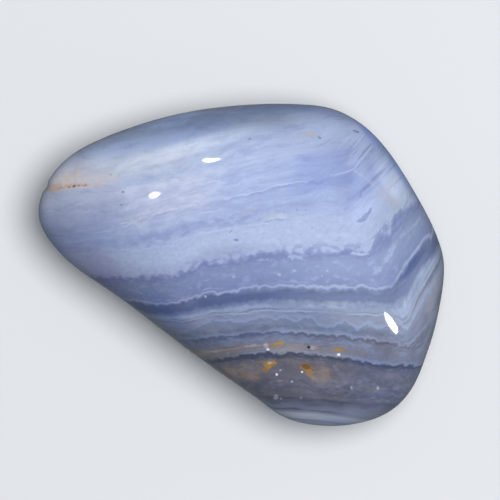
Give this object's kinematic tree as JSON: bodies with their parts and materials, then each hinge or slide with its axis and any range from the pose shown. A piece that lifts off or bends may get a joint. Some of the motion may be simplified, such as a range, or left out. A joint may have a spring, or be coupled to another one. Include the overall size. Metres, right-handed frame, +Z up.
{
  "type": "tumbled chalcedony pebble",
  "caption": "Tumbled pebble of blue lace agate, a banded chalcedony: rounded triangular in plan, polished, lying on its flattest side.",
  "frame": {"origin": "under the middle of the pebble's box, on the surface that it lies on", "axes": "+X along the pebble's length, towards its blunt end; +Y across its broad face, towards its steep far side; +Z up through its thickness"},
  "size_m": [0.026, 0.0206, 0.0119],
  "materials": {
    "polished_agate": "tumble polished, waxy gloss, pale blue and white bands with grey and amber stained layers"
  },
  "bodies": {
    "root": {"stone": "polished_agate"}
  },
  "joints": []
}
